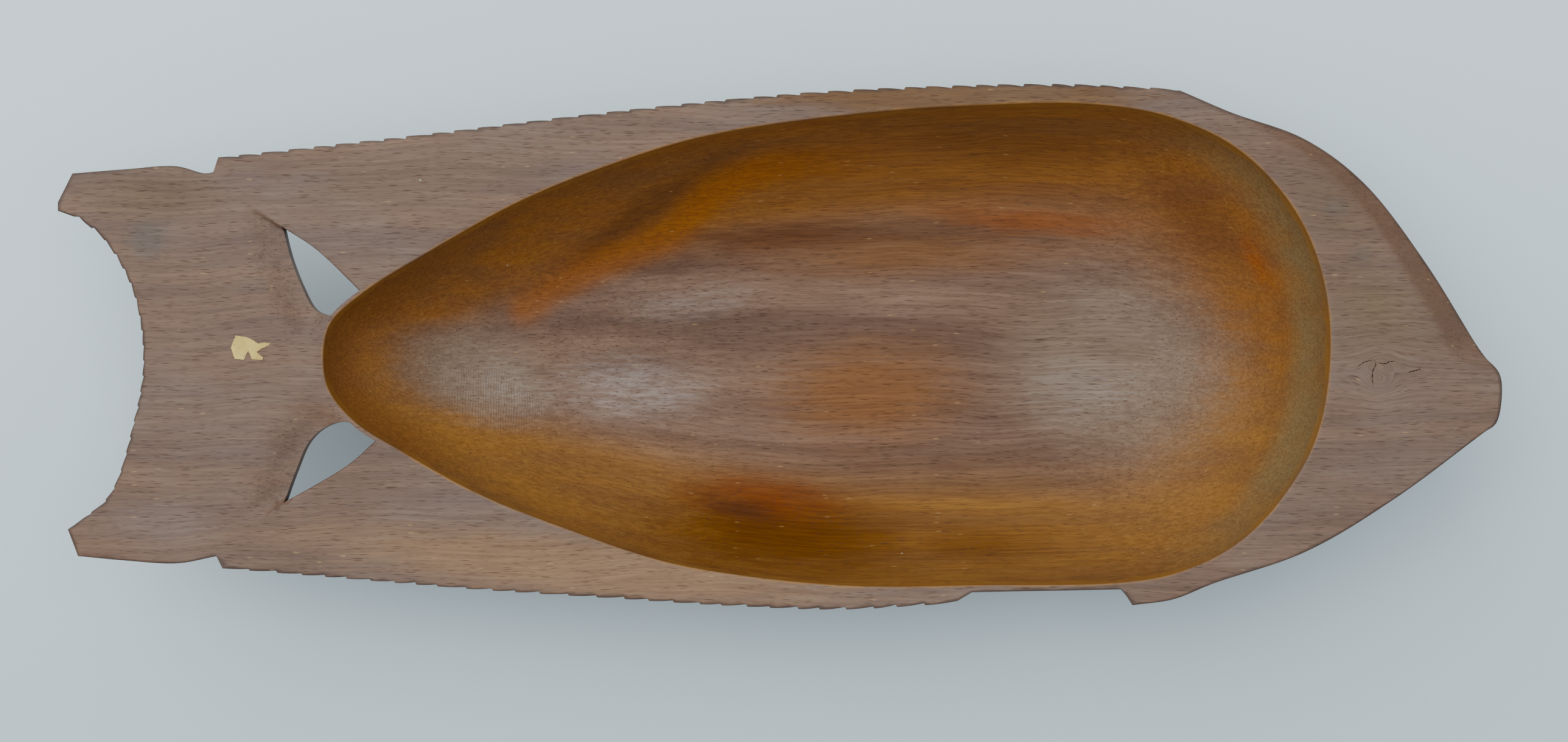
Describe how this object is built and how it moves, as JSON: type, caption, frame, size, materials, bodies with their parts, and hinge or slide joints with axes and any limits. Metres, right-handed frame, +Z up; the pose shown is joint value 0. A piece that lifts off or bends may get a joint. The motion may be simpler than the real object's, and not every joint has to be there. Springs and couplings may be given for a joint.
{
  "type": "carved wooden bowl",
  "caption": "Shallow wooden food bowl carved as a fish, with notched fins, a forked tail, pierced openings behind the hollow and a scrap of old paper label.",
  "frame": {"origin": "under the middle of the outline, on the surface that the hull's oval flat stands on", "axes": "+X from the tail to the snout, +Y towards the back fin, +Z up out of the hollow"},
  "size_m": [0.5, 0.182, 0.0666],
  "materials": {
    "dark_hardwood": "oiled, worn satin with open pores",
    "yellowed_paper": "matte, yellowed and torn"
  },
  "bodies": {
    "root": {"carved_body": "dark_hardwood", "label_scrap": "yellowed_paper"}
  },
  "joints": []
}
